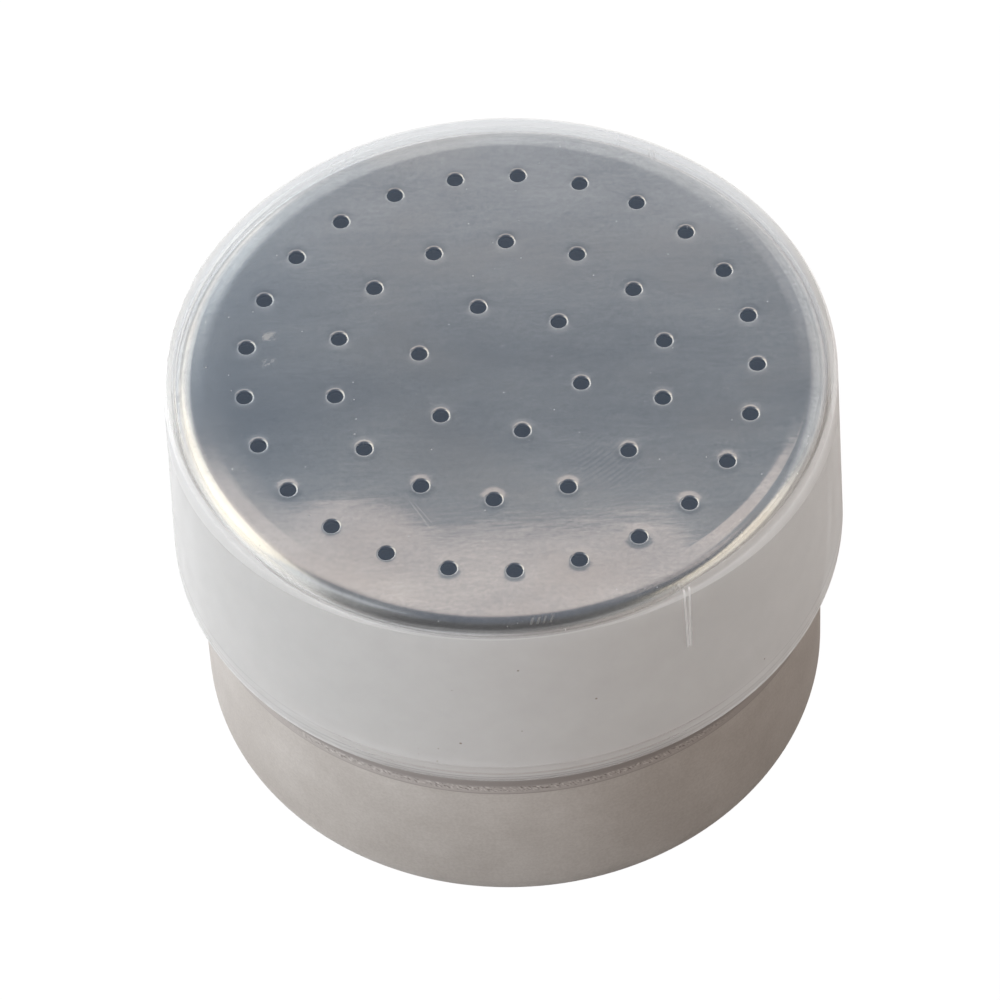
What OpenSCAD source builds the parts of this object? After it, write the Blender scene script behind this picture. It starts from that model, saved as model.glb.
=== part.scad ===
// Chocolate shaker: a drawn steel cup, a perforated steel lid pushed over it,
// and a translucent dust cap over the lid. Millimetres, +Z up. The origin is
// the centre of the base, on the table.

/* [Cup] */
// Outside diameter of the cup
cup_d = 67.5; // [50:0.5:90]
// Height of the cup's rim above the table
cup_h = 48.5; // [42:0.5:80]
// Sheet thickness of the cup
cup_sheet = 0.6; // [0.4:0.1:1]
// Outside radius where the wall turns into the base
cup_corner = 4.6; // [2:0.2:8]

/* [Sprinkle lid] */
// Sheet thickness of the lid
lid_sheet = 0.5; // [0.4:0.1:0.8]
// Radial gap between the cup's wall and the lid's skirt
lid_clearance = 0.2; // [0.15:0.05:0.4]
// Gap between the cup's rim and the inside of the shoulder that stops on it
rim_seat = 0.1; // [0.05:0.05:0.15]
// Outside radius of the lid's shoulder
lid_corner = 2; // [1.8:0.1:4]
// Depth of the lid's skirt below its top face
lid_depth = 28.8; // [15:0.2:36]

/* [Sprinkle holes] */
// Diameter of each punched hole
hole_d = 1.7; // [1:0.1:2.2]
// Width of the edge that the punch rolled in around each hole
roll_w = 0.25; // [0.1:0.05:0.3]
// Radius of that rolled edge's curve
roll_r = 0.35; // [0.3:0.05:0.6]
// Pitch radius of the inner ring of holes
inner_ring_r = 8.8; // [6:0.2:12]
// Number of holes in the inner ring
inner_ring_n = 6; // [4:1:10]
// Pitch radius of the middle ring of holes
middle_ring_r = 17.6; // [15.6:0.2:20]
// Number of holes in the middle ring
middle_ring_n = 14; // [8:1:20]
// Pitch radius of the outer ring of holes
outer_ring_r = 27; // [23.6:0.2:28]
// Number of holes in the outer ring
outer_ring_n = 25; // [12:1:32]

/* [Dust cap] */
// Wall thickness of the cap
cap_wall = 0.8; // [0.6:0.1:1.2]
// Gap between the lid's skirt and the top of the cap's wall
cap_clearance = 0.2; // [0.2:0.05:0.6]
// Gap between the lid's top face and the cap that lies on it
cap_seat = 0.1; // [0.05:0.05:0.3]
// Overall height of the cap
cap_depth = 25.1; // [16:0.1:27]
// Moulding draft of the cap's wall, in degrees
cap_draft = 1.6; // [0.5:0.1:2.5]
// Outside radius of the cap's top edge
cap_corner = 1.7; // [1.4:0.1:3]
// Radius of the rounded edge at the cap's mouth
mouth_edge = 0.25; // [0.15:0.05:0.3]

/* [Cap bead] */
// How far the bead inside the mouth stands in from the wall
bead_t = 0.3; // [0.1:0.05:0.35]
// Height of the lead-in below the bead's crest
bead_lead = 0.8; // [0.5:0.1:1.2]
// Height of the bead's straight crest
bead_crest = 0.6; // [0.3:0.1:1.2]
// Height of the slope from the crest back to the wall
bead_fade = 1.1; // [0.5:0.1:2]

/* [Cap ribs] */
// Number of grip ribs inside the cap
rib_n = 3; // [3:1:8]
// Length of a grip rib below the cap's inner face
rib_l = 10; // [6:0.5:13]
// Diameter of a grip rib's rounded face
rib_d = 0.8; // [0.6:0.1:1]
// Gap between a grip rib and the lid's skirt
rib_clearance = 0.1; // [0.05:0.05:0.15]

/* [Hidden] */

// Smoothness of the large turned forms and of the small holes
$fn = 180;
hole_fn = 36;
// How far a cutter runs past the face it opens
over = 1;

// Directions, from +X, of the first hole in each ring and of the first rib
inner_ring_start = 102.7;
middle_ring_start = 85.4;
outer_ring_start = 83.4;
rib_start = -60;

// Cup and lid radii, each worked out from the one inside it
cup_r = cup_d / 2;
lid_bore_r = cup_r + lid_clearance;
lid_r = lid_bore_r + lid_sheet;

// The lid stops where its shoulder comes down on the cup's rounded rim
rim_r = cup_sheet / 2;
shoulder_r = lid_corner - lid_sheet;
rim_offset = shoulder_r - rim_r - lid_clearance;
rim_reach = shoulder_r - rim_r - rim_seat;
rim_drop = sqrt(max(0, pow(rim_reach, 2) - pow(rim_offset, 2)));
lid_top_z = cup_h - rim_r - rim_drop + shoulder_r + lid_sheet;

// Depth of the rolled edge where it meets the hole
roll_depth = roll_r - sqrt(pow(roll_r, 2) - pow(roll_w, 2));

// The cap's wall, from its top corner to its mouth
cap_r = lid_r + cap_clearance + cap_wall;
cap_top_z = lid_top_z + cap_seat + cap_wall;
rib_face_r = lid_r + rib_clearance;

// Half section of a drawn cup that stands on its base, filled in
module cup_section(radius, corner, height) {
    square([radius - corner, height]);
    translate([0, corner]) square([radius, height - corner]);
    translate([radius - corner, corner]) circle(corner);
}

// Half section of a cup drawn from sheet, with a rounded rim
module drawn_section(radius, corner, height, sheet) {
    difference() {
        cup_section(radius, corner, height - sheet / 2);
        translate([0, sheet]) cup_section(radius - sheet, corner - sheet, height);
    }
    translate([radius - sheet / 2, height - sheet / 2]) circle(sheet / 2, $fn = hole_fn);
}

// Radius of a drafted wall at a depth below the top, given where its corner ends
function wall_r(radius, corner, depth) =
    radius - corner + corner * cos(cap_draft)
    + (depth - corner + corner * sin(cap_draft)) * tan(cap_draft);

// Half section of a drafted cap that hangs from its top face, filled in
module cap_section(radius, corner, depth, edge) {
    edge_x = wall_r(radius, corner, depth) - edge * (1 + sin(cap_draft)) / cos(cap_draft);
    turn_x = radius - corner + corner * cos(cap_draft);
    turn_z = corner * sin(cap_draft) - corner;
    polygon([
        [0, 0],
        [radius - corner, 0],
        [turn_x, turn_z],
        [edge_x + edge * cos(cap_draft), edge * (1 + sin(cap_draft)) - depth],
        [edge_x, -depth],
        [0, -depth]
    ]);
    translate([radius - corner, -corner]) circle(corner);
    if (edge > 0) translate([edge_x, edge - depth]) circle(edge, $fn = hole_fn);
}

// Half section of the bead inside the cap's mouth, sunk into the wall behind it
module bead_section() {
    bore_r = cap_r - cap_wall;
    bore_corner = cap_corner - cap_wall;
    crest_low = cap_depth - bead_lead;
    crest_high = crest_low - bead_crest;
    fade_end = crest_high - bead_fade;
    low_r = wall_r(bore_r, bore_corner, crest_low - cap_wall) - bead_t;
    high_r = wall_r(bore_r, bore_corner, crest_high - cap_wall) - bead_t;
    fade_r = wall_r(bore_r, bore_corner, fade_end - cap_wall);
    mouth_r = wall_r(bore_r, bore_corner, cap_depth - cap_wall);
    polygon([
        [mouth_r + cap_wall / 2, -cap_depth + mouth_edge],
        [mouth_r, -cap_depth + mouth_edge],
        [low_r, -crest_low],
        [high_r, -crest_high],
        [fade_r, -fade_end],
        [fade_r + cap_wall / 2, -fade_end]
    ]);
}

// One punched hole, with its rolled-in edge, cut from above
module sprinkle_hole() {
    edge_r = hole_d / 2 + roll_w;
    translate([0, 0, -lid_sheet - over]) cylinder(h = lid_sheet + 2 * over, d = hole_d, $fn = hole_fn);
    rotate_extrude($fn = hole_fn)
        difference() {
            translate([0, -roll_depth]) square([edge_r, roll_depth + over]);
            translate([edge_r, -roll_r]) circle(roll_r);
        }
}

// A ring of punched holes
module hole_ring(radius, count, start) {
    for (i = [0 : count - 1])
        rotate(start + i * 360 / count) translate([radius, 0, 0]) sprinkle_hole();
}

// One grip rib, round-faced, from the cap's inner face downwards
module grip_rib() {
    translate([rib_face_r + rib_d / 2, 0, -cap_wall - rib_l]) {
        cylinder(h = rib_l + cap_wall / 2, d = rib_d, $fn = hole_fn);
        sphere(d = rib_d, $fn = hole_fn);
    }
}

module cup() {
    color("#a8a29c") rotate_extrude() drawn_section(cup_r, cup_corner, cup_h, cup_sheet);
}

module sprinkle_lid() {
    color("#8d939a") translate([0, 0, lid_top_z])
        difference() {
            mirror([0, 0, 1]) rotate_extrude() drawn_section(lid_r, lid_corner, lid_depth, lid_sheet);
            hole_ring(inner_ring_r, inner_ring_n, inner_ring_start);
            hole_ring(middle_ring_r, middle_ring_n, middle_ring_start);
            hole_ring(outer_ring_r, outer_ring_n, outer_ring_start);
        }
}

module dust_cap() {
    color("#e6e8e6", 0.5) translate([0, 0, cap_top_z]) {
        rotate_extrude() {
            difference() {
                cap_section(cap_r, cap_corner, cap_depth, mouth_edge);
                translate([0, -cap_wall])
                    cap_section(cap_r - cap_wall, cap_corner - cap_wall, cap_depth, 0);
            }
            bead_section();
        }
        intersection() {
            for (i = [0 : rib_n - 1]) rotate(rib_start + i * 360 / rib_n) grip_rib();
            rotate_extrude() cap_section(cap_r, cap_corner, cap_depth, mouth_edge);
        }
    }
}

cup();
sprinkle_lid();
dust_cap();
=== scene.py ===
# Looks of the chocolate shaker: a satin steel cup, a polished sprinkle lid and a translucent dust cap
import math

import bmesh
import bpy
from mathutils import Matrix, Vector


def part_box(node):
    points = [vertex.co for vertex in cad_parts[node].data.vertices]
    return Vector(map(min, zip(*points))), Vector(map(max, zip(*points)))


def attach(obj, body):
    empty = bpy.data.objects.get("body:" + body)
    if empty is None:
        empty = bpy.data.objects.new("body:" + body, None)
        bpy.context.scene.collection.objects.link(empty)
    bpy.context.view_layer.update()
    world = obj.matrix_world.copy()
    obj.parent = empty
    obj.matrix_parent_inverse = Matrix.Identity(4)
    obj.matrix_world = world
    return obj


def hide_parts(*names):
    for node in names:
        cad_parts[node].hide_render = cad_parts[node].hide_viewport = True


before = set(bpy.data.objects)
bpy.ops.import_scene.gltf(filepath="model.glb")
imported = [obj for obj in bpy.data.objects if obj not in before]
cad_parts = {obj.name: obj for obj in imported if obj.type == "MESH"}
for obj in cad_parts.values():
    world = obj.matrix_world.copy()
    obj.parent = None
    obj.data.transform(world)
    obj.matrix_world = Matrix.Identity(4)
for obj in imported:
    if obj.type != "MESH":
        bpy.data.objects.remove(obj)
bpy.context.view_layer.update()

MM = 0.001

# Outer sizes, read from the frame
cup_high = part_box("cup")[1]
lid_low, lid_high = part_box("sprinkle_lid")
cap_low, cap_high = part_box("dust_cap")
CUP_R = cup_high.x
LID_R = lid_high.x
CAP_MOUTH_R = cap_high.x
CUP_TOP = cup_high.z
LID_TOP = lid_high.z
LID_EDGE = lid_low.z
CAP_TOP = cap_high.z
CAP_MOUTH = cap_low.z

# Sheet and edges of the cup
CUP_SHEET = 0.6 * MM
CUP_CORNER = 4.6 * MM

# Sheet and edges of the lid
LID_SHEET = 0.5 * MM
LID_CORNER = 2 * MM

# Punched holes: each ring's radius, count and first direction in degrees
HOLE_RINGS = ((8.8 * MM, 6, 102.7), (17.6 * MM, 14, 85.4), (27 * MM, 25, 83.4))
HOLE_R = 0.85 * MM
# Edge that the punch rolled in, and the shallow dish that it pressed around it
ROLL_W = 0.25 * MM
ROLL_R = 0.35 * MM
DISH_W = 0.75 * MM
DISH_R = 27 * MM

# Wall, corner, draft and mouth of the cap
CAP_WALL = 0.8 * MM
CAP_CORNER = 1.7 * MM
CAP_DRAFT = math.radians(1.6)
MOUTH_EDGE = 0.25 * MM
BEAD_T = 0.3 * MM
BEAD_LEAD = 0.8 * MM
BEAD_CREST = 0.6 * MM
BEAD_FADE = 1.1 * MM

# Grip ribs inside the cap
RIB_START = math.radians(-60)
RIB_STEP = math.radians(120)
RIB_DIRECTIONS = [RIB_START + RIB_STEP * i for i in range(3)]
RIB_D = 0.8 * MM
RIB_L = 10 * MM
RIB_GAP = 0.1 * MM

# Steps round the large turned forms, round a hole and along a small arc
TURN_STEPS = 288
HOLE_STEPS = 40
ARC_STEPS = 12
# Steps along a hole's dish and rolled edge, along the mouth's edge, up the cap's wall and over half a rib
DISH_STEPS = 6
ROLL_STEPS = 8
MOUTH_STEPS = 8
WALL_STEPS = 60
RIB_STEPS = 12
# Edges that turn more than this stay crisp
CRISP_ANGLE = math.radians(38)


# Meshes

def arc(centre, radius, start, end, steps=ARC_STEPS):
    """Points of a section along an arc, from one angle to another in degrees."""
    turns = [math.radians(start + (end - start) * i / steps) for i in range(steps + 1)]
    return [(centre[0] + radius * math.cos(a), centre[1] + radius * math.sin(a)) for a in turns]


def even_turn(steps):
    """Directions all round, evenly spaced."""
    return [2 * math.pi * i / steps for i in range(steps)]


def add_ring(bm, radius, z, turns, centre=(0, 0)):
    """A ring of vertices, or one vertex on the axis."""
    if radius == 0:
        return [bm.verts.new((centre[0], centre[1], z))]
    return [
        bm.verts.new((centre[0] + radius * math.cos(a), centre[1] + radius * math.sin(a), z))
        for a in turns
    ]


def join_rings(bm, rings):
    """Faces between each ring and the next, either of which may be a single vertex."""
    for first, second in zip(rings, rings[1:]):
        count = max(len(first), len(second))
        for i in range(count):
            j = (i + 1) % count
            low = [first[i % len(first)], first[j % len(first)]]
            high = [second[j % len(second)], second[i % len(second)]]
            bm.faces.new(list(dict.fromkeys(low + high)))


def fill_between(bm, rings):
    """A flat sheet inside the first ring, with the other rings as holes in it."""
    edges = []
    for ring in rings:
        for a, b in zip(ring, ring[1:] + ring[:1]):
            edges.append(bm.edges.get((a, b)) or bm.edges.new((a, b)))
    bmesh.ops.triangle_fill(bm, use_beauty=True, edges=edges, normal=(0, 0, 1))


def add_piece(name, bm, node, material):
    """Makes the mesh an object that stands for a CAD node and rides on the body of the same name."""
    bmesh.ops.recalc_face_normals(bm, faces=bm.faces)
    for face in bm.faces:
        face.smooth = True
    mesh = bpy.data.meshes.new(name)
    bm.to_mesh(mesh)
    bm.free()
    mesh.set_sharp_from_angle(angle=CRISP_ANGLE)
    mesh.materials.append(material)
    piece = bpy.data.objects.new(name, mesh)
    bpy.context.collection.objects.link(piece)
    normals = piece.modifiers.new("even_normals", "WEIGHTED_NORMAL")
    normals.mode = "FACE_AREA"
    normals.keep_sharp = True
    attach(piece, node)
    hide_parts(node)


def build_cup(material):
    """The drawn cup, with its flat base, round bottom edge and trimmed rim."""
    centre = (CUP_R - CUP_CORNER, CUP_CORNER)
    rim = (CUP_R - CUP_SHEET / 2, CUP_TOP - CUP_SHEET / 2)
    section = [
        (0, 0),
        *arc(centre, CUP_CORNER, -90, 0, 2 * ARC_STEPS),
        *arc(rim, CUP_SHEET / 2, 0, 180),
        *arc(centre, CUP_CORNER - CUP_SHEET, 0, -90, 2 * ARC_STEPS),
        (0, CUP_SHEET),
    ]
    bm = bmesh.new()
    turns = even_turn(TURN_STEPS)
    join_rings(bm, [add_ring(bm, r, z, turns) for r, z in section])
    add_piece("satin_cup", bm, "cup", material)


def hole_centres():
    """Centres of all the punched holes."""
    for radius, count, start in HOLE_RINGS:
        for i in range(count):
            turn = math.radians(start + 360 * i / count)
            yield radius * math.cos(turn), radius * math.sin(turn)


def hole_section():
    """Section of one punched hole: over the dish and the rolled edge, then down the bore."""
    dish_turn = math.degrees(math.asin(DISH_W / DISH_R))
    dish = arc((HOLE_R + ROLL_W + DISH_W, LID_TOP - DISH_R), DISH_R, 90, 90 + dish_turn, DISH_STEPS)
    roll_turn = math.degrees(math.asin(ROLL_W / ROLL_R))
    roll = arc((HOLE_R + ROLL_W, dish[-1][1] - ROLL_R), ROLL_R, 90, 90 + roll_turn, ROLL_STEPS)
    return dish + roll[1:] + [(HOLE_R, LID_TOP - LID_SHEET)]


def build_lid(material):
    """The drawn lid: a flat plate with punched holes, a round shoulder and a long skirt."""
    shoulder = (LID_R - LID_CORNER, LID_TOP - LID_CORNER)
    edge = (LID_R - LID_SHEET / 2, LID_EDGE + LID_SHEET / 2)
    section = [
        *arc(shoulder, LID_CORNER, 90, 0, 2 * ARC_STEPS),
        *arc(edge, LID_SHEET / 2, 0, -180),
        *arc(shoulder, LID_CORNER - LID_SHEET, 0, 90, 2 * ARC_STEPS),
    ]
    bm = bmesh.new()
    turns = even_turn(TURN_STEPS)
    shell = [add_ring(bm, r, z, turns) for r, z in section]
    join_rings(bm, shell)
    top_rings, under_rings = [shell[0]], [shell[-1]]
    hole_turns = even_turn(HOLE_STEPS)
    for centre in hole_centres():
        bore = [add_ring(bm, r, z, hole_turns, centre) for r, z in hole_section()]
        join_rings(bm, bore)
        top_rings.append(bore[0])
        under_rings.append(bore[-1])
    fill_between(bm, top_rings)
    fill_between(bm, under_rings)
    add_piece("polished_lid", bm, "sprinkle_lid", material)


def wall_radius(z, wall=0.0):
    """Radius of the cap's drafted wall at a height, or of a face that lies this far inside it."""
    return CAP_MOUTH_R - wall - (z - CAP_MOUTH) * math.tan(CAP_DRAFT)


def cap_section():
    """Sections of the cap's outside, down to the mouth, and of its inside, up from it."""
    draft = math.degrees(CAP_DRAFT)
    corner = (wall_radius(CAP_TOP - CAP_CORNER) - CAP_CORNER, CAP_TOP - CAP_CORNER)
    edge_x = CAP_MOUTH_R - MOUTH_EDGE * (1 + math.sin(CAP_DRAFT)) / math.cos(CAP_DRAFT)
    outside = [
        (0, CAP_TOP),
        *arc(corner, CAP_CORNER, 90, draft, 2 * ARC_STEPS),
        *arc((edge_x, CAP_MOUTH + MOUTH_EDGE), MOUTH_EDGE, draft, -90, MOUTH_STEPS),
    ]
    lead = CAP_MOUTH + BEAD_LEAD
    crest = lead + BEAD_CREST
    fade = crest + BEAD_FADE
    inner_corner = arc(corner, CAP_CORNER - CAP_WALL, draft, 90)
    heights = [fade + (inner_corner[0][1] - fade) * i / WALL_STEPS for i in range(WALL_STEPS)]
    inside = [
        (wall_radius(CAP_MOUTH, CAP_WALL), CAP_MOUTH),
        (wall_radius(CAP_MOUTH, CAP_WALL), CAP_MOUTH + MOUTH_EDGE),
        (wall_radius(lead, CAP_WALL + BEAD_T), lead),
        (wall_radius(crest, CAP_WALL + BEAD_T), crest),
        *[(wall_radius(z, CAP_WALL), z) for z in heights],
        *inner_corner,
        (0, CAP_TOP - CAP_WALL),
    ]
    return outside, inside


def from_rib(turn, rib):
    """Angle between a direction and a rib."""
    return math.remainder(turn - rib, 2 * math.pi)


def rib_turns():
    """Directions round the cap, closer together across each grip rib."""
    half = 1.2 * RIB_D / LID_R
    fine = [half * (i / RIB_STEPS - 1) for i in range(2 * RIB_STEPS + 1)]
    near = [(rib + step) % (2 * math.pi) for rib in RIB_DIRECTIONS for step in fine]
    plain = [
        turn for turn in even_turn(TURN_STEPS)
        if all(abs(from_rib(turn, rib)) > 1.1 * half for rib in RIB_DIRECTIONS)
    ]
    return sorted(plain + near)


def ribbed_radius(radius, z, turn):
    """Inner radius of the cap, drawn in where a grip rib stands out from the wall."""
    axis_r = LID_R + RIB_GAP + RIB_D / 2
    below = max(0, CAP_TOP - CAP_WALL - RIB_L - z)
    for rib in RIB_DIRECTIONS:
        angle = from_rib(turn, rib)
        aside = math.hypot(axis_r * angle, below)
        if aside < RIB_D / 2:
            radius = min(radius, axis_r - math.sqrt((RIB_D / 2) ** 2 - aside**2))
    return radius


def build_cap(material):
    """The moulded dust cap, with its drafted wall, mouth bead and grip ribs."""
    bm = bmesh.new()
    turns = rib_turns()
    outside, inside = cap_section()
    rings = [add_ring(bm, r, z, turns) for r, z in outside]
    for r, z in inside:
        ring = add_ring(bm, r, z, turns)
        if len(ring) > 1:
            for vert, turn in zip(ring, turns):
                scale = ribbed_radius(r, z, turn) / r
                vert.co.x *= scale
                vert.co.y *= scale
        rings.append(ring)
    join_rings(bm, rings)
    add_piece("clear_cap", bm, "dust_cap", material)


# Shader expressions

class Value:
    """A node's output that takes part in Python expressions."""

    def __init__(self, shader, socket):
        self.shader = shader
        self.socket = socket

    def __add__(self, other):
        return self.shader.math("ADD", self, other)

    __radd__ = __add__

    def __sub__(self, other):
        return self.shader.math("SUBTRACT", self, other)

    def __rsub__(self, other):
        return self.shader.math("SUBTRACT", other, self)

    def __mul__(self, other):
        return self.shader.math("MULTIPLY", self, other)

    __rmul__ = __mul__

    def __truediv__(self, other):
        return self.shader.math("DIVIDE", self, other)

    def __rtruediv__(self, other):
        return self.shader.math("DIVIDE", other, self)

    def __pow__(self, other):
        return self.shader.math("POWER", self, other)


class Shader:
    """The node tree of one material or of the world."""

    def __init__(self, tree):
        self.tree = tree
        tree.nodes.clear()

    def node(self, kind, settings, inputs, output=0):
        """Adds a node: its settings come first, then the values or links of its sockets."""
        made = self.tree.nodes.new("ShaderNode" + kind)
        for key, value in settings.items():
            setattr(made, key, value)
        for key, value in inputs.items():
            if isinstance(value, Value):
                self.tree.links.new(value.socket, made.inputs[key])
            else:
                made.inputs[key].default_value = value
        return Value(self, made.outputs[output]) if made.outputs else None

    def outputs(self, value):
        """All the outputs of the node that a value comes from."""
        return [Value(self, socket) for socket in value.socket.node.outputs]

    def math(self, operation, *values):
        return self.node("Math", {"operation": operation}, dict(enumerate(values)))

    def smooth(self, value, low, high):
        """0 below low, 1 above high, and a soft step between them."""
        inputs = {"Value": value, "From Min": low, "From Max": high}
        return self.node("MapRange", {"interpolation_type": "SMOOTHSTEP"}, inputs)

    def band(self, value, low, high, soft):
        """1 between low and high, with soft edges."""
        start = self.smooth(value, low - soft, low + soft)
        end = self.smooth(value, high - soft, high + soft)
        return start * (1 - end)

    def mix_colour(self, factor, first, second):
        return self.node("Mix", {"data_type": "RGBA"}, {0: factor, 6: first, 7: second}, 2)

    def mix_shader(self, factor, first, second):
        return self.node("MixShader", {}, {0: factor, 1: first, 2: second})

    def vector(self, x, y, z=0.0):
        return self.node("CombineXYZ", {}, {0: x, 1: y, 2: z})

    def place(self):
        """Where a point lies in millimetres: as a vector, x, y, z, radius and turn from the front."""
        place = self.node("TexCoord", {}, {}, "Object")
        place = self.node("VectorMath", {"operation": "SCALE"}, {0: place, "Scale": 1 / MM})
        x, y, z = self.outputs(self.node("SeparateXYZ", {}, {0: place}))
        radius = (x * x + y * y) ** 0.5
        return place, x, y, z, radius, self.math("ARCTAN2", x, 0 - y)

    def noise(self, vector, scale, detail=2.0, roughness=0.5):
        inputs = {"Vector": vector, "Scale": scale, "Detail": detail, "Roughness": roughness}
        return self.node("TexNoise", {}, inputs)

    def specks(self, x, y, cell, size, share):
        """Round specks scattered over a face, in a share of its cells."""
        vector = self.vector(x / cell, y / cell)
        made = self.node("TexVoronoi", {"voronoi_dimensions": "2D"}, {"Vector": vector, "Scale": 1.0})
        distance, colour = self.outputs(made)[:2]
        chance, scale = self.outputs(self.node("SeparateColor", {}, {0: colour}))[:2]
        reach = (0.4 + scale) * (size / cell)
        spot = 1 - self.smooth(distance, reach * 0.5, reach)
        return spot * (1 - self.smooth(chance, share - 0.01, share + 0.01))

    def stroke(self, x, y, start, end, width):
        """A thin straight mark between two points of a face."""
        length = math.dist(start, end)
        cosine, sine = (end[0] - start[0]) / length, (end[1] - start[1]) / length
        along = (x - start[0]) * cosine + (y - start[1]) * sine
        aside = self.math("ABSOLUTE", (y - start[1]) * cosine - (x - start[0]) * sine)
        return self.band(along, 0, length, 0.4) * (1 - self.smooth(aside, width / 2, width))

    def bump(self, height):
        """A normal from a height in millimetres."""
        return self.node("Bump", {}, {"Height": height, "Distance": MM, "Strength": 1.0})

    def surface(self, shader):
        self.node("OutputMaterial", {}, {"Surface": shader})


# Materials

def new_material(name):
    material = bpy.data.materials.new(name)
    material.use_nodes = True
    return material, Shader(material.node_tree)


# Heights and radius on the pieces, in millimetres, as the materials use them
PLATE_Z = LID_TOP / MM
FOOT_Z = LID_EDGE / MM
CAP_TOP_Z = CAP_TOP / MM
MOUTH_Z = CAP_MOUTH / MM
WALL_R = 35.0
# Turn of the first rib from the front
RIB_TURN = RIB_START + math.pi / 2

# Colours of the cup and of the lid's skirt, with the painted shadow under the cap's mouth
SATIN_DARK = (0.475, 0.435, 0.40, 1)
SATIN_LIGHT = (0.73, 0.695, 0.66, 1)
SKIRT_DARK = (0.455, 0.415, 0.395, 1)
SKIRT_LIGHT = (0.535, 0.495, 0.47, 1)
CUT_EDGE = (0.22, 0.19, 0.175, 1)
PAINTED_CAP_SHADOW = (0.26, 0.235, 0.225, 1)
SCUFF_DARK = (0.15, 0.125, 0.115, 1)
SCUFF_LIGHT = (0.75, 0.72, 0.69, 1)

# Colours of the lid's plate and shoulder, of their painted reflection, highlight and shade, and of what
# lies on them
PLATE_DARK = (0.49, 0.495, 0.505, 1)
PLATE_LIGHT = (0.88, 0.87, 0.85, 1)
WARM_HAZE = (0.70, 0.665, 0.63, 1)
PAINTED_COOL_REFLECTION = (0.50, 0.57, 0.64, 1)
PAINTED_SHOULDER_HIGHLIGHT = (1.0, 0.985, 0.96, 1)
SHADED_SHOULDER = (0.10, 0.105, 0.135, 1)
PAINTED_BORE_SHADE = (0.07, 0.075, 0.085, 1)
SCRATCH = (0.90, 0.89, 0.87, 1)
STAIN = (0.46, 0.42, 0.37, 1)
DUST = (0.66, 0.65, 0.63, 1)

# Colours of the cap: its clear top, the faint veil on it, the milky wall and the crumbs of cocoa
CLEAR = (0.985, 0.99, 0.99, 1)
VEIL = (0.47, 0.67, 1.0, 1)
MILK = (0.925, 0.925, 0.92, 1)
MILK_THROUGH = (0.925, 0.93, 0.93, 1)
COCOA = (0.10, 0.07, 0.05, 1)
WHITE = (1, 1, 1, 1)


def satin_steel():
    """Satin steel of the cup, faintly mottled, with fine marks round it."""
    material, s = new_material("satin_steel")
    place, _, _, z, radius, turn = s.place()
    mottle = s.smooth(s.noise(place, 0.1, 3.0), 0.3, 0.7)
    cloud = s.noise(place, 0.5, 3.0, 0.6)
    grain = s.noise(s.vector(turn * radius * 0.4, z * 3.0, radius), 1.0, 3.0, 0.6)
    fine = s.smooth(s.noise(place, 3.2, 2.0, 0.6), 0.3, 0.7)
    tone = 0.28 * mottle + 0.28 * cloud + 0.24 * grain + 0.2 * fine
    s.surface(s.node("BsdfPrincipled", {}, {
        "Base Color": s.mix_colour(tone, SATIN_DARK, SATIN_LIGHT),
        "Metallic": 1.0,
        "Roughness": 0.29 + 0.10 * cloud + 0.06 * grain,
        "Normal": s.bump(grain * 0.0008 + cloud * 0.002),
    }))
    return material


def plate_height(s, x, y, radius, plate, left):
    """Unevenness of the plate: a slight crown, rolled streaks, and its fall towards the edge."""
    crown = 0.0005 * radius * radius
    streak = s.noise(s.vector(x * 0.08, y * 0.4), 1.0, 2.0)
    ripple = s.noise(s.vector(x * 0.24, y * 0.9), 1.0, 2.0)
    hair = s.noise(s.vector(x * 0.4, y * 2.8), 1.0, 3.0, 0.6)
    near = s.math("MAXIMUM", -12.5 - y, 0.0)
    sag = 0.0013 * s.band(x, -22.0, -12.0, 6.0) * near * near
    bay = 0.0007 * s.smooth(x, 15.0, 23.0) * near * near
    fall = (0.075 + 0.085 * left) * s.smooth(radius, 31.2 - 0.4 * left, 33.2 + 0.2 * left)
    return plate * (0.004 * streak + 0.0026 * ripple + 0.0008 * hair + bay - sag) - crown - fall


def plate_marks(s, place, x, y, radius, plate):
    """Masks of the dust, stains, scratches, nicks and turned lines on the plate."""
    dust = 0.8 * s.specks(x, y, 2.6, 0.09, 0.16) + 0.4 * s.specks(x + 40, y, 1.4, 0.055, 0.3)
    dust = dust * plate
    blot = s.smooth(s.noise(place, 1.4, 3.0), 0.4, 0.6)
    stains = s.band(y, 5.6, 6.7, 0.3) + 0.6 * s.band(y, 2.0, 3.0, 0.3)
    stains = s.band(x, -25.0, -23.5, 0.3) * stains * blot * plate
    nicks = s.smooth(s.noise(s.vector(x * 3.0 + radius * 1.5, 0.0), 1.0, 0.0), 0.52, 0.6)
    nicks = nicks * s.band(x, 1.5, 4.4, 0.15) * s.band(radius, 33.2, 33.75, 0.1)
    nicks = nicks * (1 - s.smooth(y, -31.0, -30.0))
    scratch = s.stroke(x, y, (-10.1, -17.2), (-8.2, -20.8), 0.09)
    scratch = scratch + s.stroke(x, y, (-9.6, -17.5), (-7.9, -20.3), 0.06)
    scratch = scratch + 0.7 * s.stroke(x, y, (3.4, 6.2), (4.6, 5.4), 0.08)
    scratch = scratch * plate + 0.3 * nicks
    turned = s.math("SINE", (radius + 0.05 * x) * 11.0)
    turned = turned * s.band(x, 7.5, 13.0, 2.0) * s.band(y, -16.5, -10.5, 2.0) * plate
    return dust, stains, scratch, nicks, turned


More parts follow.
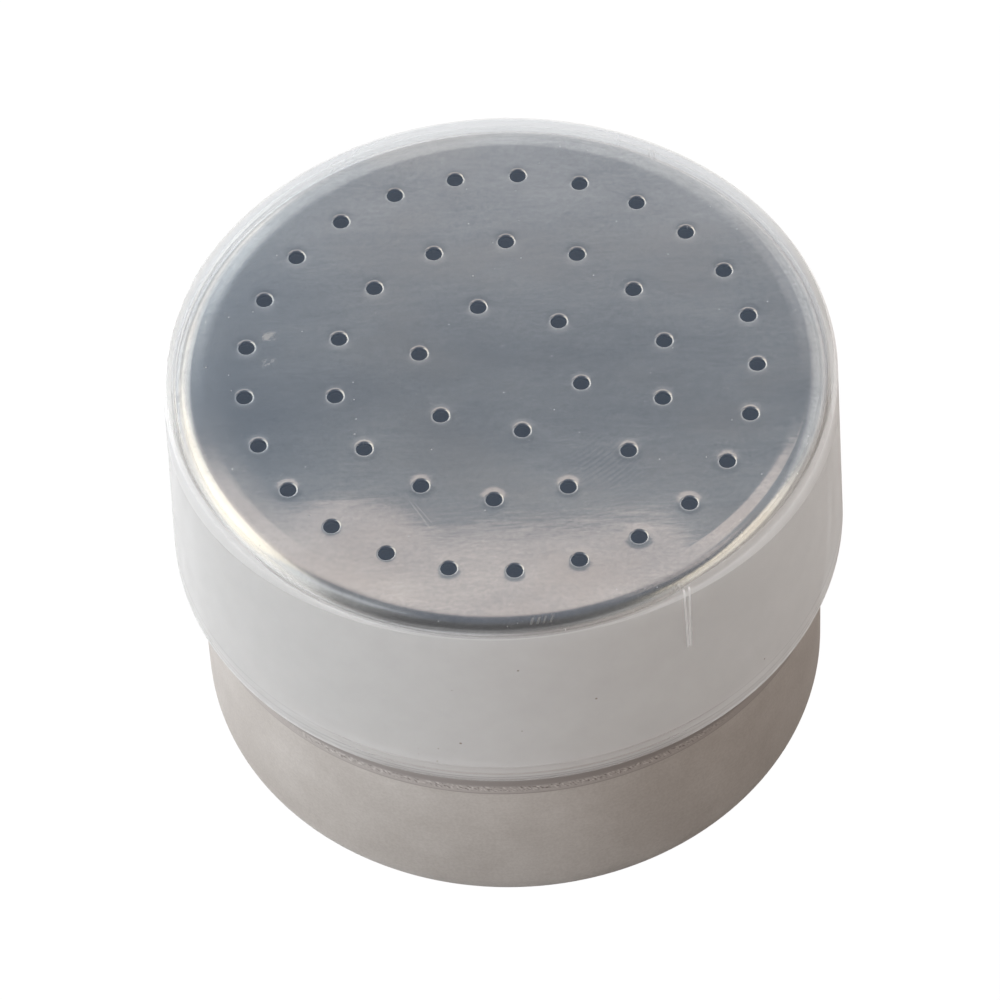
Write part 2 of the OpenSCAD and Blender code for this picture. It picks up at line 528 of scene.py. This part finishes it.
def skirt_shadow_and_scuffs(s, up, turn, plate):
    """Masks of the painted shadow under the cap's mouth, and of light and dark scuffs at the skirt's foot.
    """
    # Painted shadow: the skirt is darker in a band just under the cap's mouth
    painted_shadow_under_cap = s.band(up, 1.45, 3.4, 0.3) * (1 - plate)
    foot = s.band(up, 0.65, 1.45, 0.12) * s.band(turn, -0.75, 0.65, 0.15)
    arc_x = turn * (LID_R / MM)
    tick = s.noise(s.vector(arc_x * 3.6 + up * 2.5, up * 2.6), 1.0, 2.0, 0.6)
    light = foot * s.smooth(tick, 0.53, 0.65)
    dark = foot * (1 - s.smooth(tick, 0.35, 0.47))
    return painted_shadow_under_cap, light, dark


def polished_steel():
    """Steel of the lid: a polished, dusty plate and a satin skirt with a scuffed foot."""
    material, s = new_material("polished_steel")
    place, x, y, z, radius, turn = s.place()
    up = z - FOOT_Z
    plate = s.smooth(z, PLATE_Z - 2.2, PLATE_Z - 0.4)
    shoulder = s.smooth(radius, 32.2, 33.2)
    left = 1 - s.smooth(x, -22.0, 5.0)
    left_edge = left * s.smooth(radius, 27.0, 31.0) * (1 - shoulder)
    low_left = left_edge * (1 - s.smooth(y, -13.0, -4.0))
    dust, stains, scratch, nicks, turned = plate_marks(s, place, x, y, radius, plate)
    painted_shadow_under_cap, light_scuff, dark_scuff = skirt_shadow_and_scuffs(s, up, turn, plate)

    # Smudges, grain and warmer parts of the plate; its paler and cooler parts are painted reflection, and
    # its bright left shoulder a painted highlight
    smudge = s.noise(s.vector(x * 0.05, y * 0.12), 1.0, 4.0, 0.6)
    wipe = s.noise(s.vector(x * 0.12, y * 1.6), 1.0, 4.0, 0.65)
    fibre = s.smooth(s.noise(s.vector(x * 0.9, y * 2.6), 1.0, 2.0, 0.65), 0.3, 0.7)
    grain = s.smooth(s.noise(place, 2.4, 2.0, 0.6), 0.3, 0.7)
    pale = s.band(x, -23.0, -9.0, 7.0) * s.band(y, -13.0, -4.0, 6.0)
    tone = 0.45 * s.smooth(smudge, 0.25, 0.75) + 0.25 * wipe + 0.14 * fibre + 0.16 * grain
    # Painted reflection: the plate is lighter towards the right, in its lower left and at its lower left
    # edge; the turned lines are its own
    tone = tone + 0.12 * turned + 0.1 * s.smooth(x, 8.0, 24.0) + 0.2 * pale + 0.4 * low_left
    warm = s.smooth(s.noise(s.vector(x * 0.07 + 9.0, y * 0.1), 1.0, 3.0), 0.45, 0.7)
    # Painted reflection: the plate's left side is darker and cooler
    cool = (0.6 - 0.6 * s.smooth(x, -34.0, -10.0)) * (1 - shoulder) * (1 - 0.45 * low_left)
    # Painted highlight on the left front of the shoulder
    bright = s.band(turn, -1.15, -0.75, 0.25) * shoulder
    plate_colour = s.mix_colour(tone, PLATE_DARK, PLATE_LIGHT)
    plate_colour = s.mix_colour(warm * 0.5, plate_colour, WARM_HAZE)
    plate_colour = s.mix_colour(cool, plate_colour, PAINTED_COOL_REFLECTION)
    plate_colour = s.mix_colour(bright, plate_colour, PAINTED_SHOULDER_HIGHLIGHT)
    skirt_colour = s.mix_colour(smudge, SKIRT_DARK, SKIRT_LIGHT)
    colour = s.mix_colour(plate, skirt_colour, plate_colour)

    # The holes' bores are rougher, and painted shade darkens them
    bore = s.smooth(PLATE_Z - z, 0.075, 0.1) * (1 - s.smooth(radius, 30.0, 31.0))
    colour = s.mix_colour(bore * 0.85, colour, PAINTED_BORE_SHADE)
    # The foot of the shoulder is shaded by the cap's wall in front of it
    shade = s.band(z, PLATE_Z - 2.4, PLATE_Z - 0.5, 0.25)
    shade = shade * s.smooth(turn, -0.6, -0.25) * (1 - s.smooth(turn, 0.08, 0.4))
    colour = s.mix_colour(shade * 0.4, colour, SHADED_SHOULDER)
    # Wear of the skirt and the painted shadow under the cap's mouth, then what lies on the plate
    colour = s.mix_colour(0.5 - 0.5 * s.smooth(up, 0.2, 0.4), colour, CUT_EDGE)
    # Painted shadow under the cap's mouth
    colour = s.mix_colour(painted_shadow_under_cap * 0.65, colour, PAINTED_CAP_SHADOW)
    colour = s.mix_colour(dark_scuff * 0.75, colour, SCUFF_DARK)
    colour = s.mix_colour(light_scuff * 0.7, colour, SCUFF_LIGHT)
    colour = s.mix_colour(scratch * 0.6, colour, SCRATCH)
    colour = s.mix_colour(stains * 0.55, colour, STAIN)
    colour = s.mix_colour(dust, colour, DUST)

    roughness = 0.06 + 0.08 * left_edge + 0.16 * shoulder + 0.08 * (1 - plate)
    roughness = roughness + 0.3 * dust + 0.3 * stains + 0.3 * nicks + 0.4 * bore
    normal = s.bump(plate_height(s, x, y, radius, plate, left))
    clean = s.node("BsdfPrincipled", {}, {
        "Base Color": colour,
        "Metallic": 1 - 0.9 * dust - 0.7 * stains,
        "Roughness": roughness,
        "Normal": normal,
    })
    wiped = s.node("BsdfPrincipled", {}, {
        "Base Color": colour,
        "Metallic": 1.0,
        "Roughness": 0.32,
        "Normal": normal,
    })
    s.surface(s.mix_shader(plate * (0.02 + 0.22 * smudge * wipe), clean, wiped))
    return material


def milky_plastic():
    """Natural translucent plastic of the cap, clear on top and milky down the wall."""
    material, s = new_material("milky_plastic")
    place, _, _, z, radius, turn = s.place()
    drop = CAP_TOP_Z - z
    rise = z - MOUTH_Z
    arc_x = turn * WALL_R
    from_front = s.math("ABSOLUTE", turn)
    facing = s.node("LayerWeight", {}, {"Blend": 0.5}, "Facing")
    wall_r = CAP_MOUTH_R / MM - rise * math.tan(CAP_DRAFT)
    outer = s.smooth(radius - wall_r, -0.5, -0.3)
    side = s.smooth(drop + outer, 2.15, 2.6)
    corner = s.smooth(drop, 0.02, 0.3)
    near = 1 - s.smooth(from_front, 1.7, 2.3)

    # The wall's end, seen through the corner, shows as a white ring that widens towards the outline
    wide = s.smooth(turn, 0.3, 0.65) + s.smooth(0 - turn, 0.65, 0.95)
    ring_head = 1.2 - 0.65 * wide
    ring_foot = 1.55 + 6.6 * s.math("MAXIMUM", facing - 0.375, 0.0)
    ring = s.smooth(drop, ring_head - 0.12, ring_head + 0.12) * outer * near
    ring = ring * (1 - s.smooth(drop, ring_foot - 0.12, ring_foot + 0.12))
    ring = ring * (0.13 + 0.15 * s.smooth(from_front, 0.2, 0.6))

    # Ribs and the mouth's edge are thicker, the mouth's edge is milkier at the left and right as a painted
    # glint and clearer in front, and the bead's corners show as fine lines
    from_rib_turn = s.math("WRAP", turn - RIB_TURN, -RIB_STEP / 2, RIB_STEP / 2)
    aside = s.math("ABSOLUTE", from_rib_turn) * WALL_R
    half = 0.34 - 0.02 * drop
    rib = s.band(aside, half - 0.11, half + 0.11, 0.05)
    rib = rib * s.band(drop, 2.4 - 1.4 * near, 10.2, 0.2) * outer
    # Painted glint: the mouth's edge is milkier towards the left and right
    lip = 0.5 * s.smooth(from_front, 0.35, 0.8) - 0.12
    lip = lip * (1 - s.smooth(rise, 0.3, 0.75))
    bead = 1 - s.smooth(rise, 1.2, 2.6)
    lines = s.band(rise, 1.25, 1.45, 0.09) + 0.8 * s.band(rise, 2.35, 2.5, 0.09)
    lines = lines + 0.6 * s.band(rise, 0.75, 0.85, 0.07)
    lines = lines * (1 - 0.7 * s.smooth(from_front, 0.35, 0.7))

    # Haze of the plastic seen square on, and how it adds up along a slanting path
    cloud = s.noise(place, 0.25, 3.0)
    haze = side * (0.175 + 0.035 * s.smooth(rise, 1.0, 9.0) + 0.04 * cloud)
    haze = haze + ring + 0.7 * rib + lip + 0.06 * bead - 0.19 * lines
    haze = s.math("MAXIMUM", 0.065 * (1 - 0.8 * corner) + haze, 0.02)
    haze = s.math("MINIMUM", haze, 0.92)
    opacity = 1 - (1 - haze) ** (1 / s.math("MAXIMUM", 1 - facing, 0.7 - 0.5 * corner))

    # Crumbs of cocoa on the wall
    crumbs = s.band(arc_x, -12.0, -7.5, 0.5) * s.band(z, 27.8, 31.0, 0.5)
    specks = s.specks(arc_x, z, 1.1, 0.1, 0.4) * crumbs + s.specks(arc_x, z + 3.0, 7.0, 0.15, 0.14)
    specks = specks * side * outer
    opacity = s.math("MAXIMUM", opacity, specks)

    clear = s.node("BsdfTransparent", {}, {"Color": CLEAR})
    lit = s.node("BsdfPrincipled", {}, {
        "Base Color": s.mix_colour(specks, s.mix_colour(corner, VEIL, MILK), COCOA),
        "Roughness": 0.35,
        "IOR": 1.49,
    })
    lit_through = s.node("BsdfTranslucent", {}, {"Color": MILK_THROUGH})
    milk = s.mix_shader(0.45 * side * (1 - specks), lit, lit_through)
    gloss = s.node("BsdfGlossy", {}, {"Color": WHITE, "Roughness": 0.15})
    fresnel = s.node("Fresnel", {}, {"IOR": 1.35})
    s.surface(s.mix_shader(fresnel * 0.3, s.mix_shader(opacity, clear, milk), gloss))
    return material


# Stage: floor, light and camera

# Floor under the left and the right of the part, darker to the right as painted shade, and the painted
# glow that it gives back to the part there and behind
FLOOR_LEFT = (0.94, 0.97, 1.0, 1)
FLOOR_RIGHT = (0.51, 0.47, 0.445, 1)
GLOW_LEFT = (0.15, 0.155, 0.16, 1)
GLOW_RIGHT = (0.045, 0.043, 0.04, 1)
GLOW_BEHIND = (0.45, 0.45, 0.45, 1)

# Surroundings behind the part from low to overhead, and in front of it
BEHIND_LOW = (0.73, 0.72, 0.71, 1)
BEHIND_MIDDLE = (0.47, 0.46, 0.46, 1)
BEHIND_GAP = (0.19, 0.195, 0.20, 1)
OVERHEAD = (0.32, 0.32, 0.32, 1)
AHEAD_LOW = (0.36, 0.36, 0.365, 1)
AHEAD_HIGH = (0.11, 0.11, 0.115, 1)

# Colours of the panels
CREAM = (1.0, 0.90, 0.73)
PALE_CREAM = (1.0, 0.955, 0.88)
DEEP_CREAM = (1.0, 0.88, 0.72)
PEACH = (1.0, 0.79, 0.665)
COOL_WHITE = (0.96, 0.98, 1.0)


def build_floor():
    """A plain pale floor to the camera, with painted shade and painted glow in what the part sees of it.
    """
    bm = bmesh.new()
    bmesh.ops.create_grid(bm, x_segments=1, y_segments=1, size=2)
    mesh = bpy.data.meshes.new("floor")
    bm.to_mesh(mesh)
    bm.free()
    floor = bpy.data.objects.new("floor", mesh)
    bpy.context.collection.objects.link(floor)
    material, s = new_material("pale_floor")
    x, y = s.place()[1:3]
    seen = s.node("LightPath", {}, {}, "Is Camera Ray")
    # Painted shade: the floor is darker and warmer towards the right
    colour = s.mix_colour(s.smooth(x, -75.0, 45.0), FLOOR_LEFT, FLOOR_RIGHT)
    # Painted glow: the floor gives light back, more on the left and behind
    glow = s.mix_colour(s.smooth(x, -35.0, 35.0), GLOW_LEFT, GLOW_RIGHT)
    glow = s.mix_colour(s.smooth(y, 50.0, 100.0), glow, GLOW_BEHIND)
    matt = s.node("BsdfPrincipled", {}, {
        "Base Color": colour,
        "Roughness": 1.0,
        "Specular IOR Level": 0.0,
        "Emission Color": glow,
        "Emission Strength": 1.0,
    })
    white = s.node("Emission", {}, {"Color": WHITE, "Strength": 1.03})
    s.surface(s.mix_shader(seen * 0.97, matt, white))
    mesh.materials.append(material)


def build_world():
    """Soft surroundings, bright low behind and darker overhead and ahead, but white to the camera."""
    world = bpy.data.worlds.new("studio")
    bpy.context.scene.world = world
    world.use_nodes = True
    s = Shader(world.node_tree)
    direction = s.node("TexCoord", {}, {}, "Generated")
    _, y, z = s.outputs(s.node("SeparateXYZ", {}, {0: direction}))
    low = s.mix_colour(s.smooth(z, 0.62, 0.70), BEHIND_LOW, BEHIND_MIDDLE)
    high = s.mix_colour(s.smooth(z, 0.778, 0.80), BEHIND_GAP, OVERHEAD)
    behind = s.mix_colour(s.smooth(z, 0.70, 0.778), low, high)
    ahead = s.mix_colour(s.smooth(z, 0.05, 0.5), AHEAD_LOW, AHEAD_HIGH)
    room = s.mix_colour(s.smooth(y, -0.1, 0.4), ahead, behind)
    seen = s.node("LightPath", {}, {}, "Is Camera Ray")
    colour = s.mix_colour(seen, room, WHITE)
    back = s.node("Background", {}, {"Color": colour, "Strength": 1.0})
    s.node("OutputWorld", {}, {"Surface": back})


def add_panel(name, centre, aim, size, colour, radiance, mirrored=True, lighting=True):
    """A panel light of even brightness, which polished faces may mirror and matt ones be lit by."""
    lamp = bpy.data.lights.new(name, "AREA")
    lamp.shape = "RECTANGLE"
    lamp.size, lamp.size_y = size
    lamp.color = colour
    lamp.energy = radiance * math.pi * size[0] * size[1]
    panel = bpy.data.objects.new(name, lamp)
    panel.location = centre
    panel.rotation_euler = (Vector(aim) - Vector(centre)).to_track_quat("-Z", "Y").to_euler()
    panel.visible_camera = False
    panel.visible_glossy = mirrored
    panel.visible_diffuse = lighting
    bpy.context.collection.objects.link(panel)


def build_lights():
    """Panels that the polished lid mirrors, and washes that light the matt faces."""
    add_panel("left_window", (-0.95, 0.33, 0.81), (0, 0.33, 0.81), (1.0, 1.57), CREAM, 1.25,
              lighting=False)
    add_panel("left_low_window", (-0.95, -0.26, 0.2), (0, -0.26, 0.2), (0.2, 0.36), CREAM, 3.0,
              lighting=False)
    add_panel("left_front_window", (-0.95, -0.43, 0.81), (0, -0.43, 0.81), (0.52, 1.57), COOL_WHITE, 0.75)
    add_panel("left_back_window", (-0.75, 1.15, 0.75), (0, 0, 0.05), (0.9, 0.9), PALE_CREAM, 0.7)
    add_panel("top_panel", (-0.215, 0.45, 1.25), (-0.215, 0.45, 0), (1.27, 0.8), PEACH, 0.465)
    add_panel("top_right_panel", (0.63, 0.0, 1.25), (0.63, 0.0, 0), (0.42, 0.5), PEACH, 0.465,
              lighting=False)
    add_panel("right_fill", (1.05, -0.43, 0.52), (0, -0.43, 0.52), (1.1, 0.9), DEEP_CREAM, 1.2,
              lighting=False)
    add_panel("left_wash", (-0.95, 0.1, 0.7), (0, 0, 0), (1.6, 1.2), (0.97, 0.99, 1.0), 1.55,
              mirrored=False)
    add_panel("front_wash", (0.36, -0.97, 0.35), (0, 0, 0.03), (0.6, 0.4), (1.0, 0.96, 0.94), 5.9,
              mirrored=False)
    add_panel("right_wash", (0.95, 0.55, 0.3), (0, 0, 0.03), (0.6, 0.4), (1.0, 0.97, 0.95), 3.6,
              mirrored=False)
    add_panel("back_wash", (0.2, 1.1, 0.4), (0, 0, 0.03), (1.2, 0.5), (1.0, 0.98, 0.97), 2.7,
              mirrored=False)


# Camera of the photograph, about the centre of the lid's plate, in lengths of the outer ring's radius
CAMERA_UNIT = HOLE_RINGS[2][0]
CAMERA_ELEVATION = math.radians(51.33)
CAMERA_ROLL = math.radians(-3.276)
CAMERA_FOCAL_PX = 6303
PHOTO_WIDTH_PX = 1000
SENSOR_WIDTH = 36
CAMERA_ASIDE, CAMERA_RISE, CAMERA_AWAY = 0.0293, 0.5123, 24.503


def build_camera():
    """The camera at the photograph's angle, distance and framing."""
    sine, cosine = math.sin(CAMERA_ELEVATION), math.cos(CAMERA_ELEVATION)
    right = Vector((1, 0, 0))
    up = Vector((0, sine, cosine))
    ahead = Vector((0, cosine, -sine))
    offset = right * CAMERA_ASIDE + up * CAMERA_RISE + ahead * CAMERA_AWAY
    turned_right = right * math.cos(CAMERA_ROLL) + up * math.sin(CAMERA_ROLL)
    turned_up = up * math.cos(CAMERA_ROLL) - right * math.sin(CAMERA_ROLL)
    data = bpy.data.cameras.new("photo_camera")
    data.sensor_width = SENSOR_WIDTH
    data.lens = CAMERA_FOCAL_PX / PHOTO_WIDTH_PX * SENSOR_WIDTH
    data.clip_start, data.clip_end = 0.05, 20
    camera = bpy.data.objects.new("photo_camera", data)
    axes = Matrix((turned_right, turned_up, -ahead)).transposed().to_4x4()
    centre = Vector((0, 0, LID_TOP)) - offset * CAMERA_UNIT
    camera.matrix_world = Matrix.Translation(centre) @ axes
    bpy.context.collection.objects.link(camera)
    bpy.context.scene.camera = camera


build_cup(satin_steel())
build_lid(polished_steel())
build_cap(milky_plastic())
build_floor()
build_world()
build_lights()
build_camera()
bpy.context.scene.view_settings.view_transform = "Standard"
